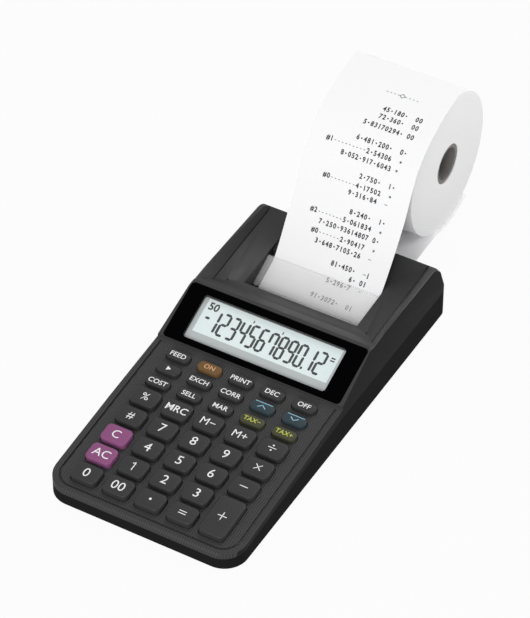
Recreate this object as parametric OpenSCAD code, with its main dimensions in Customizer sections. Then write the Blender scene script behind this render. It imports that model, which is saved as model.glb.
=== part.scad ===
// Compact printing calculator: a two-shell case with 39 keys, a tilted display,
// a small drum printer and a paper roll that lies in a cradle behind the case.
// Lengths are given from the front edge of the case (y) and from the desk (z);
// in_frame() then moves the whole object so that the origin is the middle of its base.

/* [Case] */
// Width of the case
case_w = 102; // [100:1:106]
// Length of the case at the desk
case_l = 206; // [205:1:208]
// Radius of the two front corners, seen from above
front_corner_r = 12; // [10:1:13]
// Radius of the two rear corners, seen from above
rear_corner_r = 6; // [4:1:8]
// Wall thickness of the case shells
wall = 1.8; // [1.6:0.1:2]
// Gap between the desk and the case, filled by the feet
foot_h = 1.5; // [1.2:0.1:2]
// Height of the deck's plane at the front edge
deck_front_z = 10.4; // [10:0.1:11]
// Tilt of the deck in degrees
deck_tilt = 5.5; // [5:0.1:6]
// Height of the ridge behind the display
ridge_z = 34; // [33.5:0.1:34.5]

/* [Keys] */
// Distance between neighbouring keys across the deck
key_pitch_x = 17.07; // [16.6:0.1:17.4]
// Distance between neighbouring rows of large keys
key_pitch_y = 12.95; // [12.8:0.05:13.2]
// Distance between neighbouring rows of small keys
small_pitch_y = 9.4; // [9:0.1:9.6]
// Distance of the first row from the front edge
first_row_y = 12.1; // [11.5:0.1:12.6]
// Distance of the first small row from the front edge
small_row_y = 74.9; // [74.5:0.1:75.4]
// Width and length of a large key
large_key = [13.6, 10.2]; // [9:0.1:14]
// Width and length of a small key
small_key = [12.4, 5.6]; // [5:0.1:13]
// How far a key goes down
key_travel = 1.5; // [1:0.1:1.5]

/* [Display] */
// Distance of the display's lower edge from the front edge
bezel_y = 101.3; // [101:0.1:102]
// Height of the display's lower edge
bezel_z = 21.7; // [21.5:0.1:22]
// Tilt of the display in degrees
bezel_tilt = 21.8; // [21:0.1:22]
// Width and length of the display window
window_size = [96, 31.2]; // [30:0.1:97]

/* [Printer] */
// Radius of the rubber platen roller
platen_r = 4.5; // [4.3:0.1:4.6]
// Radius of the print drum
drum_r = 4.6; // [4.4:0.1:4.7]
// Radius of the ink roller
ink_r = 3.6; // [3.2:0.1:3.7]

/* [Paper] */
// Width of the paper
paper_w = 58.4; // [57:0.1:58.6]
// Radius of the paper roll
roll_r = 37.6; // [37:0.1:37.8]
// Radius of the hole in the roll's card core
core_hole_r = 10; // [6:0.5:12]
// Thickness that stands in for one layer of paper
paper_t = 0.3; // [0.2:0.05:0.3]

/* [Hidden] */
$fn = 64;
eps = 0.01;
gap = 0.3;

// Names of the keys by column and row; the tall add key covers rows 0 and 1.
LARGE_KEYS = [
    ["key_0", 0, 0], ["key_00", 1, 0], ["key_point", 2, 0], ["key_equals", 3, 0],
    ["key_all_clear", 0, 1], ["key_1", 1, 1], ["key_2", 2, 1], ["key_3", 3, 1],
    ["key_add", 4, 0.5],
    ["key_clear", 0, 2], ["key_4", 1, 2], ["key_5", 2, 2], ["key_6", 3, 2], ["key_subtract", 4, 2],
    ["key_number", 0, 3], ["key_7", 1, 3], ["key_8", 2, 3], ["key_9", 3, 3], ["key_multiply", 4, 3],
    ["key_percent", 0, 4], ["key_memory_recall", 1, 4], ["key_memory_minus", 2, 4],
    ["key_memory_plus", 3, 4], ["key_divide", 4, 4]
];
SMALL_KEYS = [
    ["key_cost", 0, 0], ["key_sell", 1, 0], ["key_margin", 2, 0],
    ["key_tax_minus", 3, 0], ["key_tax_plus", 4, 0],
    ["key_backspace", 0, 1], ["key_exchange", 1, 1], ["key_correct", 2, 1],
    ["key_up", 3, 1], ["key_down", 4, 1],
    ["key_feed", 0, 2], ["key_on", 1, 2], ["key_print", 2, 2], ["key_decimal", 3, 2], ["key_off", 4, 2]
];
KEYS = [for (k = concat(LARGE_KEYS, SMALL_KEYS)) k[0]];

// Colours
case_black = [0.17, 0.17, 0.18];
gloss_black = [0.03, 0.03, 0.035];
key_black = [0.15, 0.15, 0.155];
magenta = [0.55, 0.16, 0.45];
orange = [0.80, 0.42, 0.12];
blue = [0.16, 0.33, 0.42];
olive = [0.42, 0.44, 0.16];
board_green = [0.10, 0.35, 0.20];
steel = [0.66, 0.67, 0.69];
paper_white = [0.95, 0.95, 0.93];
rubber_grey = [0.22, 0.22, 0.22];

// Case: height of its underside, of the line where the shells meet, and its leaning faces
base_z = foot_h;
parting_front_z = 7.6;
parting_z = 16;
parting_flat_y = 100;
rim_r = 2;
ridge_y = bezel_y + (ridge_z - bezel_z) / tan(bezel_tilt);
rear_r = 7;
rear_lean = 13.3;
rear_foot_z = 4;
side_top_x = case_w / 2 - 2.2;

// Printer cover: half widths of its outer edge and of the recess, and the heights of its dished top
cover_x = 43.6;
cover_front_y = 141.1;
recess_x = 31;
recess_y = [149.8, 178];
cover_edge_z = 28.5;
recess_z = 25.3;
arm_rise = 0.068;
scoop_z = 24.9;
scoop_rise = 0.405;
cover_wall = 1.6;

// Deck layers, measured down from the deck's surface
flange_t = 0.8;
flange_gap = 0.1;
mat_top = -4.4;
mat_t = 0.8;
board_t = 1.3;
board_size = [80, 93];
board_front_y = 5;

// Printer: axes (y, z), gears and frame plates
platen_axis = [158.5, 10.6];
drum_axis = platen_axis + 10 * [cos(165), sin(165)];
ink_axis = drum_axis + (drum_r + ink_r + 0.4) * [cos(135), sin(135)];
gear_module = 0.625;
gear_teeth = 16;
pinion_teeth = 10;
gear_pitch_r = gear_module * gear_teeth / 2;
pinion_pitch_r = gear_module * pinion_teeth / 2;
motor_angle = 170;
motor_axis = drum_axis + (gear_pitch_r + pinion_pitch_r) * [cos(motor_angle), sin(motor_angle)];
plate_x = 30.8;
plate_t = 1.5;
gear_x = 33.6;
gear_t = 2;
shaft_r = 1;
shaft_fit = 0.06;
motor_x = 36.8;
motor_r = 6;

// Paper: axis of the roll (y, z), middle of the strip and the path of the web
roll_axis = [245.2, 55.35];
roll_x = [-29, 28.5];
strip_x = 1;
wrap_r = roll_r + gap + paper_t / 2;
platen_wrap_r = platen_r + gap + paper_t / 2;
exit_slope = 25;
inlet = [203.2, 18.4];
entry_slope = 17;
cutter_y = [158.6, 174.2];

// Batteries: four small cells side by side
cell_r = 5.25;
cell_l = 44.5;
cell_pitch = 10.8;
cell_y = 98.3;
bay_x = 22.2;
bay_y = [96.6, 144.4];
cover_plate_t = 1.2;
cover_slide = 6.5;

// Places of the screws and of the feet
screw_x = 45;
screw_y = [12, 180];
foot_at = [[41, 27], [41, 190]];

overall_l = roll_axis[0] + roll_r;

module in_frame() { translate([0, -overall_l / 2, 0]) children(); }

// Points on an arc, and points on a Bezier curve
function arc(c, r, a0, a1, n) = [for (i = [0:n]) let (a = a0 + (a1 - a0) * i / n) c + r * [cos(a), sin(a)]];
function bezier(p, n) = [for (i = [0:n]) let (t = i / n, u = 1 - t)
    u * u * u * p[0] + 3 * u * u * t * p[1] + 3 * u * t * t * p[2] + t * t * t * p[3]];

// Unit normal of a path at point i, and the closed outline of a band along the path
function path_dir(p, i) = let (d = p[min(i + 1, len(p) - 1)] - p[max(i - 1, 0)]) d / norm(d);
function path_side(p, i, s) = let (d = path_dir(p, i)) p[i] + s * [-d[1], d[0]];
function band(p, t) = concat([for (i = [0:len(p) - 1]) path_side(p, i, t / 2)],
    [for (i = [len(p) - 1:-1:0]) path_side(p, i, -t / 2)]);

// Heights of the deck and of the display's ramp at a distance y from the front
function deck_z(y) = deck_front_z + y * tan(deck_tilt);
function ramp_z(y) = bezel_z + (y - bezel_y) * tan(bezel_tilt);
function rear_y(z) = case_l - (z - rear_foot_z) * tan(rear_lean);

// Side view of the case, moved inwards by t
function case_side(t) = let (
    arc_c = [rear_y(ridge_z - rear_r + rear_r * sin(rear_lean)) - rear_r * cos(rear_lean), ridge_z - rear_r]
) concat(
    [[t, base_z + t]],
    arc([rim_r, deck_z(rim_r) - rim_r], rim_r - t, 180, 90 + deck_tilt, 6),
    [[bezel_y + t, deck_z(bezel_y + t) - t / cos(deck_tilt)], [bezel_y + t, ramp_z(bezel_y + t) - t],
     [ridge_y - t * sin(bezel_tilt), ridge_z - t]],
    arc(arc_c, rear_r - t, 90, rear_lean, 8),
    [[case_l - t, rear_foot_z], [case_l - t, base_z + t]]
);

// Front view of the case, moved inwards by t
function case_front(t) = [
    [-case_w / 2 + t, base_z + t], [-case_w / 2 + t, parting_z], [-side_top_x + t, ridge_z],
    [side_top_x - t, ridge_z], [case_w / 2 - t, parting_z], [case_w / 2 - t, base_z + t]
];

// Extrusions of a drawing along x, and along y from y0 to y1
module along_x(w) { rotate([90, 0, 90]) translate([0, 0, -w / 2]) linear_extrude(w) children(); }
module along_y(y0, y1) { translate([0, y1, 0]) rotate([90, 0, 0]) linear_extrude(y1 - y0) children(); }
module rod(at, x0, x1, r) { translate([x0, at[0], at[1]]) rotate([0, 90, 0]) cylinder(r = r, h = x1 - x0); }

// Rectangle with round corners about the origin
module round_rect(size, r) {
    square([size[0] - 2 * r, size[1]], center = true);
    square([size[0], size[1] - 2 * r], center = true);
    for (x = [-1, 1], y = [-1, 1])
        translate([x * (size[0] / 2 - r), y * (size[1] / 2 - r)]) circle(r);
}

// Plan of the case, moved inwards by t
module case_plan(t) {
    rf = front_corner_r - t;
    rr = rear_corner_r - t;
    w = case_w / 2 - t;
    for (s = [-1, 1]) {
        translate([s * (w - rf), t + rf]) circle(rf);
        translate([s * (w - rr), case_l - t - rr]) circle(rr);
    }
    translate([-w + rf, t]) square([2 * (w - rf), rf]);
    translate([-w, t + rf]) square([2 * w, case_l - 2 * t - rf - rr]);
    translate([-w + rr, case_l - t - rr]) square([2 * (w - rr), rr]);
}

module case_body(t) {
    intersection() {
        linear_extrude(50) case_plan(t);
        along_x(2 * case_w) polygon(case_side(t));
        along_y(-1, case_l + 1) polygon(case_front(t));
    }
}

// Everything below the line where the two shells meet
module below_parting() {
    along_x(2 * case_w) polygon([
        [-1, 0], [-1, parting_front_z], [parting_flat_y, parting_z], [case_l + 2, parting_z], [case_l + 2, 0]
    ]);
}

// Local frames: z is at right angles to the deck, or to the display
module on_deck() { translate([0, 0, deck_front_z]) rotate([deck_tilt, 0, 0]) children(); }
module on_bezel() { translate([0, bezel_y, bezel_z]) rotate([bezel_tilt, 0, 0]) children(); }

// ---- keys ----

// One key's record: centre on the deck, size and height above the deck
function key_named(name) =
    let (large = search([name], LARGE_KEYS)[0], small = search([name], SMALL_KEYS)[0])
    is_num(large) ? large_record(LARGE_KEYS[large]) : small_record(SMALL_KEYS[small]);
function large_record(k) = [
    [(k[1] - 2) * key_pitch_x, (first_row_y + k[2] * key_pitch_y) / cos(deck_tilt)],
    k[2] == 0.5 ? large_key + [0, key_pitch_y] : large_key, 3, 2.4
];
function small_record(k) = [
    [(k[1] - 2) * key_pitch_x, (small_row_y + k[2] * small_pitch_y) / cos(deck_tilt)], small_key, 2.2, 2.4
];
function key_at(k) = k[0];
function key_size(k) = k[1];
function key_h(k) = k[2];
function key_r(k) = k[3];
function key_colour(name) =
    name == "key_all_clear" || name == "key_clear" ? magenta :
    name == "key_on" ? orange :
    name == "key_up" || name == "key_down" ? blue :
    name == "key_tax_minus" || name == "key_tax_plus" ? olive : key_black;

// A hollow cap with a flange that keeps it under the deck
module key(name) {
    k = key_named(name);
    rim = 0.5;
    skin = 1.2;
    flange_top = -wall - flange_gap;
    in_frame() on_deck() translate(key_at(k)) color(key_colour(name)) difference() {
        union() {
            translate([0, 0, flange_top - flange_t])
                linear_extrude(flange_t) round_rect(key_size(k) + [1.6, 1.4], key_r(k));
            translate([0, 0, flange_top - eps])
                linear_extrude(key_h(k) - rim - flange_top + eps) round_rect(key_size(k), key_r(k));
            translate([0, 0, key_h(k) - rim - eps])
                linear_extrude(rim + eps) round_rect(key_size(k) - [0.8, 0.8], key_r(k) - 0.4);
        }
        translate([0, 0, flange_top - flange_t - 1])
            linear_extrude(key_h(k) - skin - flange_top + flange_t + 1)
                round_rect(key_size(k) - [2.4, 2.4], key_r(k) - 1.2);
    }
}

module key_holes() {
    clearance = 0.7;
    on_deck() for (name = KEYS) {
        k = key_named(name);
        translate(key_at(k)) translate([0, 0, -wall - 2]) linear_extrude(wall + 4)
            round_rect(key_size(k) + [clearance, clearance], key_r(k) + clearance / 2);
    }
}

// Rubber sheet with one dome inside each key
module key_mat() {
    in_frame() on_deck() color(rubber_grey) {
        translate([0, board_front_y + board_size[1] / 2, mat_top - mat_t])
            linear_extrude(mat_t) round_rect(board_size, 2);
        for (name = KEYS) {
            k = key_named(name);
            dome_r = min(key_size(k)) / 2 - 1.7;
            dome_top = key_h(k) - 1.2 - key_travel - 0.4;
            translate(key_at(k)) translate([0, 0, mat_top - eps])
                cylinder(r1 = dome_r, r2 = dome_r * 0.75, h = dome_top - mat_top + eps);
        }
    }
}

// Circuit board with its processor and battery contacts
module main_board() {
    board_top = mat_top - mat_t;
    contact_t = 0.5;
    in_frame() color(board_green) {
        on_deck() {
            translate([0, board_front_y + board_size[1] / 2, board_top - board_t])
                linear_extrude(board_t) round_rect(board_size, 2);
            translate([0, 62, board_top - board_t - 0.9]) linear_extrude(0.9 + eps) square(14, center = true);
        }
        for (y = [bay_y[0], bay_y[1] - contact_t])
            translate([-21, y, 4]) cube([42, contact_t, y == bay_y[0] ? 7 : 3.9]);
    }
}

// ---- case ----

module upper_case() {
    in_frame() color(case_black) {
        difference() {
            case_body(0);
            case_body(wall);
            below_parting();
            key_holes();
            deck_groove();
            window_pocket();
            printer_bay();
        }
        bay_edges();
        screw_towers();
        bay_floor();
        board_posts();
    }
}

// Thin posts between the columns of keys that the rubber sheet and the circuit board lie against
module board_posts() {
    on_deck() for (s = [-1.5, 1.5], y = [18, 66])
        translate([s * key_pitch_x, y, mat_top]) cylinder(r = 0.6, h = -mat_top - wall / 2);
}

// Shallow groove round the front and the sides of the deck
module deck_groove() {
    inset = 3;
    width = 1.2;
    depth = 0.8;
    intersection() {
        difference() {
            linear_extrude(40) case_plan(inset);
            linear_extrude(40) case_plan(inset + width);
        }
        on_deck() translate([-case_w, 0, -depth]) cube([2 * case_w, bezel_y - 1, 10]);
    }
}

// Pocket for the display window and the opening over the display
window_gap = 0.15;
window_t = 1.4;
lcd_opening = [80, 25];
lcd_middle = 15;
module window_pocket() {
    on_bezel() {
        translate([0, 0.3 + window_size[1] / 2, -window_t])
            linear_extrude(10) round_rect(window_size + 2 * [window_gap, window_gap], 2);
        translate([0, lcd_middle, -8]) linear_extrude(10) round_rect(lcd_opening, 1);
    }
}

// Sheared so that it rises towards the rear, as the arms of the printer cover do
module rising() {
    multmatrix([[1, 0, 0, 0], [0, 1, 0, 0], [0, arm_rise, 1, -arm_rise * recess_y[0]]]) children();
}

// Opening for the printer cover; its front and its sides slope inwards from the ridges
module bay(bottom) {
    low = bottom - 10;
    x0 = cover_x + gap;
    x1 = side_top_x + 2;
    y0 = cover_front_y - gap;
    y1 = ridge_y - 1.2;
    z0 = cover_edge_z + gap;
    z1 = ridge_z + 3;
    intersection() {
        rising() along_y(ridge_y - 2, case_l + 1)
            polygon([[-x0, low], [-x0, z0], [-x1, z1], [x1, z1], [x0, z0], [x0, low]]);
        along_x(2 * case_w)
            polygon([[y0, bottom], [y0, z0], [y1, ridge_z + 1], [case_l + 1, z1], [case_l + 1, bottom]]);
    }
}

// Room for the printer cover, and the notch in the rear wall where the paper goes in
module printer_bay() {
    rear_wall_z = 22;
    sill_z = 16.6;
    bay(rear_wall_z);
    translate([-recess_x - 0.5, rear_y(rear_wall_z) - 10, sill_z])
        cube([2 * recess_x + 1, 20, 30]);
}

// Skins under the sloping sides and the sloping front of that opening
module bay_edges() {
    edge_x = cover_x + gap;
    edge_y = cover_front_y - gap;
    edge_z = cover_edge_z + gap;
    lip = 1.4;
    intersection() {
        case_body(0);
        difference() {
            union() {
                for (s = [0, 1]) mirror([s, 0, 0])
                    rising() along_y(ridge_y - 0.2, case_l) polygon([
                        [side_top_x + 2, ridge_z + 3], [edge_x, edge_z], [edge_x, edge_z - 2.1],
                        [edge_x + lip, edge_z - 2.1], [edge_x + lip, edge_z - 0.7],
                        [side_top_x + 2, ridge_z - 0.1]
                    ]);
                along_x(2 * side_top_x - 1) polygon([
                    [ridge_y - 0.2, ridge_z], [edge_y, ridge_z], [edge_y, edge_z - 2.1],
                    [edge_y - lip, edge_z - 2.1], [edge_y - lip, edge_z - 1],
                    [ridge_y + 0.6, ridge_z - 2.6], [ridge_y - 0.2, ridge_z - 1.9]
                ]);
            }
            bay(0);
        }
    }
}

// Hollow towers that the screws go into, each with a rib to the side wall
module screw_towers() {
    tower_r = 2.9;
    bore_r = 1.45;
    for (s = [-1, 1], i = [0, 1]) {
        y = screw_y[i];
        bottom = i == 0 ? 6 : 12;
        top = i == 0 ? deck_z(y) - 0.5 : 24;
        rib_bottom = i == 0 ? 8.9 : 16.1;
        difference() {
            union() {
                translate([s * screw_x, y, bottom]) cylinder(r = tower_r, h = top - bottom);
                translate([s * (screw_x + 3.3), y, (rib_bottom + top) / 2])
                    cube([2.6, 1.4, top - rib_bottom], center = true);
            }
            translate([s * screw_x, y, bottom - 1]) cylinder(r = bore_r, h = i == 0 ? 4 : 8);
        }
    }
}

// Sloping floor of the paper recess, above the path of the incoming paper
bay_floor_line = [[166, 15.3], [175, 19.6], [184, 21.6], [202.2, 21.6]];
module bay_floor() {
    floor_t = 1.2;
    line = bay_floor_line;
    intersection() {
        case_body(wall / 2);
        along_x(2 * (recess_x + 12)) polygon(band(line, floor_t));
    }
    for (s = [-1, 1]) translate([s * (recess_x + 11.4) - 0.6, 176, parting_z + 0.2])
        cube([1.2, 25, 5]);
}

module lower_case() {
    in_frame() color(case_black) difference() {
        union() {
            intersection() {
                difference() {
                    case_body(0);
                    case_body(wall);
                }
                below_parting();
            }
            battery_bay_walls();
            for (s = [-1, 1], i = [0, 1]) translate([s * screw_x, screw_y[i], base_z])
                cylinder(r = 4.5, h = (i == 0 ? 6 : 12) - base_z);
        }
        battery_opening();
        for (s = [-1, 1], i = [0, 1]) translate([s * screw_x, screw_y[i], 0]) {
            cylinder(r = 1.6, h = 20);
            cylinder(r = 3, h = base_z + 1.6);
        }
        for (s = [-1, 1], f = foot_at) translate([s * f[0], f[1], 0]) cylinder(r = 5.1, h = base_z + 0.5);
        for (s = [-1, 1]) translate([s * 12 - 4, case_l - 8, 7.2]) cube([8, 20, 3]);
    }
}

module battery_bay_walls() {
    for (s = [0, 1]) mirror([s, 0, 0]) translate([bay_x, bay_y[0] - 1.5, base_z]) {
        cube([1.5, 40, 9.5]);
        cube([1.5, bay_y[1] - bay_y[0] + 3, 6.4]);
    }
    translate([-bay_x - 1.5, bay_y[0] - 1.5, base_z]) cube([2 * bay_x + 3, 1.5, 9.5]);
    translate([-bay_x - 1.5, bay_y[1], base_z]) cube([2 * bay_x + 3, 1.5, 6.4]);
    // thicker floor above the recess that the cover slides into
    translate([-bay_x - 1.5, bay_y[0] - cover_slide - 4, base_z + 1])
        cube([2 * bay_x + 3, cover_slide + 4, 1.6]);
}

// Opening under the cells, with the recess that lets the cover slide forwards
module battery_opening() {
    translate([-bay_x, bay_y[0], 0]) cube([2 * bay_x, bay_y[1] - bay_y[0], base_z + 4]);
    translate([-bay_x - 1, bay_y[0] - cover_slide - 1, 0])
        cube([2 * bay_x + 2, bay_y[1] - bay_y[0] + cover_slide + 2, base_z + cover_plate_t + 0.05]);
}

module battery_cover() {
    grip_n = 5;
    in_frame() color(case_black) difference() {
        translate([-bay_x - 0.7, bay_y[0] - 0.3, base_z])
            cube([2 * bay_x + 1.4, bay_y[1] - bay_y[0] + 1, cover_plate_t]);
        for (i = [0:grip_n - 1]) translate([-10, bay_y[0] + 4 + 2.4 * i, base_z - 1]) cube([20, 1.2, 1.5]);
    }
}

module batteries() {
    cell_z = base_z + cover_plate_t + gap + cell_r;
    in_frame() for (i = [-1.5:1:1.5]) translate([i * cell_pitch, cell_y, cell_z])
        rotate([-90, 0, 0]) {
            color(steel) cylinder(r = cell_r, h = cell_l - 0.8);
            color(steel) cylinder(r = 1.9, h = cell_l);
        }
}

module feet() {
    in_frame() color(rubber_grey) for (s = [-1, 1], f = foot_at)
        translate([s * f[0], f[1], 0]) cylinder(r = 5, h = base_z + 0.5);
}

module screws() {
    head_z = base_z + 0.4;
    in_frame() color(steel) for (s = [-1, 1], i = [0, 1]) translate([s * screw_x, screw_y[i], head_z]) {
        difference() {
            cylinder(r = 2.6, h = 1.2);
            for (a = [0, 90]) rotate(a) translate([-1.5, -0.3, -1]) cube([3, 0.6, 1.7]);
        }
        cylinder(r = 1.4, h = (i == 0 ? 8.4 : 17) - head_z);
    }
}

// ---- display ----

module display_window() {
    in_frame() on_bezel() color(gloss_black)
        translate([0, 0.3 + window_size[1] / 2, -window_t])
            linear_extrude(window_t + 0.1) round_rect(window_size, 2);
}

// Liquid crystal glass in its frame, with the ribbon that leads to the circuit board
module lcd_panel() {
    in_frame() color([0.80, 0.84, 0.83]) {
        on_bezel() translate([0, lcd_middle, -window_t - 2.8])
            linear_extrude(2.7) round_rect(lcd_opening - [0.6, 0.6], 0.7);
        along_x(60) polygon(band([[106.5, 19.4], [103.2, 16.9], [100.4, 15.2], [98.3, 14]], 0.3));
    }
}

// ---- printer ----

// Cover round the paper: a bar in front of it, an arm on each side that rises towards the rear, and a
// scoop behind it. The same body moved inwards by t hollows it out.
module cover_body(t) {
    low = 0;
    z = [recess_z, cover_edge_z];
    scoop_end = scoop_z + scoop_rise * (case_l - recess_y[1]);
    along_x(2 * (cover_x - t)) polygon([
        [cover_front_y + t, low], [cover_front_y + t, z[1] - 1.43 * t],
        [recess_y[0] - t, z[0] - 0.7 * t], [recess_y[0] - t, low]
    ]);
    intersection() {
        union() {
            rising()
                for (s = [0, 1]) mirror([s, 0, 0]) along_y(cover_front_y + t, case_l) polygon([
                    [recess_x + t, low], [recess_x + t, z[0] - 0.78 * t],
                    [cover_x - t, z[1] - 1.29 * t], [cover_x - t, low]
                ]);
            along_x(2 * (cover_x - t)) polygon([
                [recess_y[1] + t, low], [recess_y[1] + t, scoop_z - 0.67 * t],
                [case_l, scoop_end - 1.08 * t], [case_l, low]
            ]);
        }
        case_body(t);
    }
}

module printer_cover() {
    wall_z = cover_edge_z - 1.6;
    in_frame() color(case_black) difference() {
        cover_body(0);
        cover_body(cover_wall);
        // the outer walls end just below the sloping sides of the opening
        for (s = [0, 1]) mirror([s, 0, 0]) translate([38, 0, 0]) cube([20, 190, wall_z]);
        translate([-case_w, 0, 0]) cube([2 * case_w, cover_front_y + 1.5 * cover_wall, wall_z]);
        // the inner walls end above the printer's side plates and the floor of the recess
        along_x(2 * case_w) polygon([
            [0, 0], [0, 20.6], [151.4, 20.6], [151.4, 15.6], [165, 15.6],
            [175, 20.9], [184, 22.7], [case_l + 1, 22.7], [case_l + 1, 0]
        ]);
    }
}

// Clear plate over the paper; its rear edge is toothed to tear the paper
module paper_cutter() {
    plate_t = 1;
    lift = 0.85;
    tooth = 1.1;
    slope_l = (cutter_y[1] - cutter_y[0]) / cos(exit_slope);
    w = 2 * recess_x - 0.02;
    n = floor(w / tooth);
    start = strip_start() + [0, (cutter_y[0] - strip_start()[0]) * tan(exit_slope)];
    in_frame() color([0.85, 0.87, 0.86, 0.45])
        translate([0, cutter_y[0], start[1] + lift]) rotate([exit_slope, 0, 0]) linear_extrude(plate_t)
            polygon(concat(
                [[w / 2, 0], [w / 2, slope_l - 0.8]],
                [for (i = [0:n - 1]) each [
                    [w / 2 - (i + 0.5) * w / n, slope_l], [w / 2 - (i + 1) * w / n, slope_l - 0.8]
                ]],
                [[-w / 2, 0]]
            ));
}

// Side plates, guide under the incoming paper, cross bar and motor bracket
module printer_frame() {
    chute = [[165, 5.6], [199.5, 16.2]];
    in_frame() color(steel) difference() {
        union() {
            for (s = [0, 1]) mirror([s, 0, 0])
                translate([plate_x + plate_t / 2, 0, 0]) along_x(plate_t) side_plate();
            along_x(2 * plate_x + 1) polygon([[146.6, 4.3], [164.5, 4.3], [164.5, 5.1], [146.6, 5.1]]);
            along_x(2 * plate_x + 1) polygon([[136.6, 14.2], [138.4, 14.2], [138.4, 15.8], [136.6, 15.8]]);
            along_x(2 * recess_x) polygon(band(chute, 1));
            translate([motor_x - 0.4, 0, 0]) along_x(0.8)
                polygon([[134, 7.5], [146.5, 7.5], [146.5, 21], [134, 21]]);
            for (z = [9, 19.6]) rod([135.4, z], plate_x, motor_x, 0.9);
            for (s = [-1, 1]) translate([s * 24, 155, base_z + wall]) cylinder(r = 2, h = 1.5);
        }
        for (a = [platen_axis, drum_axis]) rod(a, -plate_x - 5, plate_x + 5, shaft_r + shaft_fit);
        rod(ink_axis, -plate_x - 5, plate_x + 4.5, 0.8 + shaft_fit);
        rod(motor_axis, motor_x - 2, motor_x + 2, 2);
    }
}
module side_plate() {
    polygon([
        [134, 6.5], [134, 23.4], [146.5, 23.4], [148, 20], [151, 15.2], [164.5, 15.2], [170, 8.2],
        [165.5, 4.3], [146.6, 4.3], [144.2, 6.5]
    ]);
}

// Outline of a spur gear with straight-sided teeth, the first tooth at angle phase
function gear_outline(teeth, phase) = let (
    r = gear_module * teeth / 2, tip = r + 0.42, root = r - 0.72,
    half_tip = 0.17 / tip * 180 / PI, half_root = 0.50 / root * 180 / PI
) [for (i = [0:teeth - 1]) let (a = phase + i * 360 / teeth) each [
    root * [cos(a - half_root), sin(a - half_root)], tip * [cos(a - half_tip), sin(a - half_tip)],
    tip * [cos(a + half_tip), sin(a + half_tip)], root * [cos(a + half_root), sin(a + half_root)]
]];
module gear(at, teeth, phase) {
    translate([gear_x + gear_t / 2, at[0], at[1]]) along_x(gear_t) polygon(gear_outline(teeth, phase));
}

// Phases that put a tooth of one gear in a gap of the other on their line of centres
platen_phase = 165;
drum_phase = 345 + 180 / gear_teeth;
drum_tooth_off = (drum_phase - motor_angle) % (360 / gear_teeth);
pinion_phase = motor_angle + 180 - drum_tooth_off * gear_teeth / pinion_teeth + 180 / pinion_teeth;

module platen_roller() {
    in_frame() {
        color(rubber_grey) rod(platen_axis, -29.8, 30.2, platen_r);
        color(steel) rod(platen_axis, -plate_x - plate_t - 0.8, gear_x + gear_t, shaft_r);
        color(paper_white) gear(platen_axis, gear_teeth, platen_phase);
    }
}

// Drum with twelve raised type rings on a core
module print_drum() {
    rings = 12;
    ring_pitch = 4.6;
    in_frame() {
        color(rubber_grey) {
            rod(drum_axis, -29.6, 29.6, drum_r - 0.6);
            for (i = [0:rings - 1]) let (x = (i - (rings - 1) / 2) * ring_pitch)
                rod(drum_axis, x - 1.5, x + 1.5, drum_r);
        }
        color(steel) rod(drum_axis, -plate_x - plate_t - 0.8, gear_x + gear_t, shaft_r);
        color(paper_white) gear(drum_axis, gear_teeth, drum_phase);
    }
}

module ink_roller() {
    in_frame() {
        color([0.15, 0.10, 0.30]) rod(ink_axis, -29.4, 29.4, ink_r);
        color(steel) rod(ink_axis, -plate_x - plate_t - 0.4, plate_x + plate_t + 0.4, 0.8);
    }
}

arbor_r = 0.5;
module printer_motor() {
    in_frame() color(steel) difference() {
        rod(motor_axis, motor_x, motor_x + 11.6, motor_r);
        rod(motor_axis, motor_x - 1, motor_x + 5, arbor_r + shaft_fit);
    }
}
module motor_gear() {
    in_frame() {
        color(paper_white) gear(motor_axis, pinion_teeth, pinion_phase);
        color(steel) rod(motor_axis, gear_x, motor_x + 4.5, arbor_r);
    }
}

// ---- paper ----

// Where the paper leaves the platen, and the path of the web from the roll to its free end
function strip_start() = platen_axis + platen_wrap_r * [cos(90 + exit_slope), sin(90 + exit_slope)];
function strip_path() = let (
    start = strip_start(),
    bend = [cutter_y[1] - 0.6, start[1] + (cutter_y[1] - 0.6 - start[0]) * tan(exit_slope)],
    rise = [184, 36.1], shoulder = [209.4, 77.5], end = [255.5, 97.2],
    exit_dir = [cos(exit_slope), sin(exit_slope)], rise_dir = (shoulder - rise) / norm(shoulder - rise)
) concat(
    arc(roll_axis, wrap_r, 293, 251, 8),
    [inlet],
    arc(platen_axis, platen_wrap_r, 270 + entry_slope, 90 + exit_slope, 14),
    bezier([bend, bend + 4 * exit_dir, rise - 6 * rise_dir, rise], 6),
    bezier([shoulder, shoulder + 15 * rise_dir, end - [20, 3.4], end], 10)
);

module paper_strip() {
    in_frame() color(paper_white) translate([strip_x, 0, 0])
        along_x(paper_w) polygon(band(strip_path(), paper_t));
}

module paper_roll() {
    core_t = 1.6;
    in_frame() {
        color(paper_white) difference() {
            rod(roll_axis, roll_x[0], roll_x[1], roll_r);
            rod(roll_axis, roll_x[0] - 1, roll_x[1] + 1, core_hole_r + core_t);
        }
        color([0.62, 0.60, 0.57]) difference() {
            rod(roll_axis, roll_x[0] + 0.4, roll_x[1] - 0.4, core_hole_r + core_t + eps);
            rod(roll_axis, roll_x[0] - 1, roll_x[1] + 1, core_hole_r);
        }
    }
}

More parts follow.
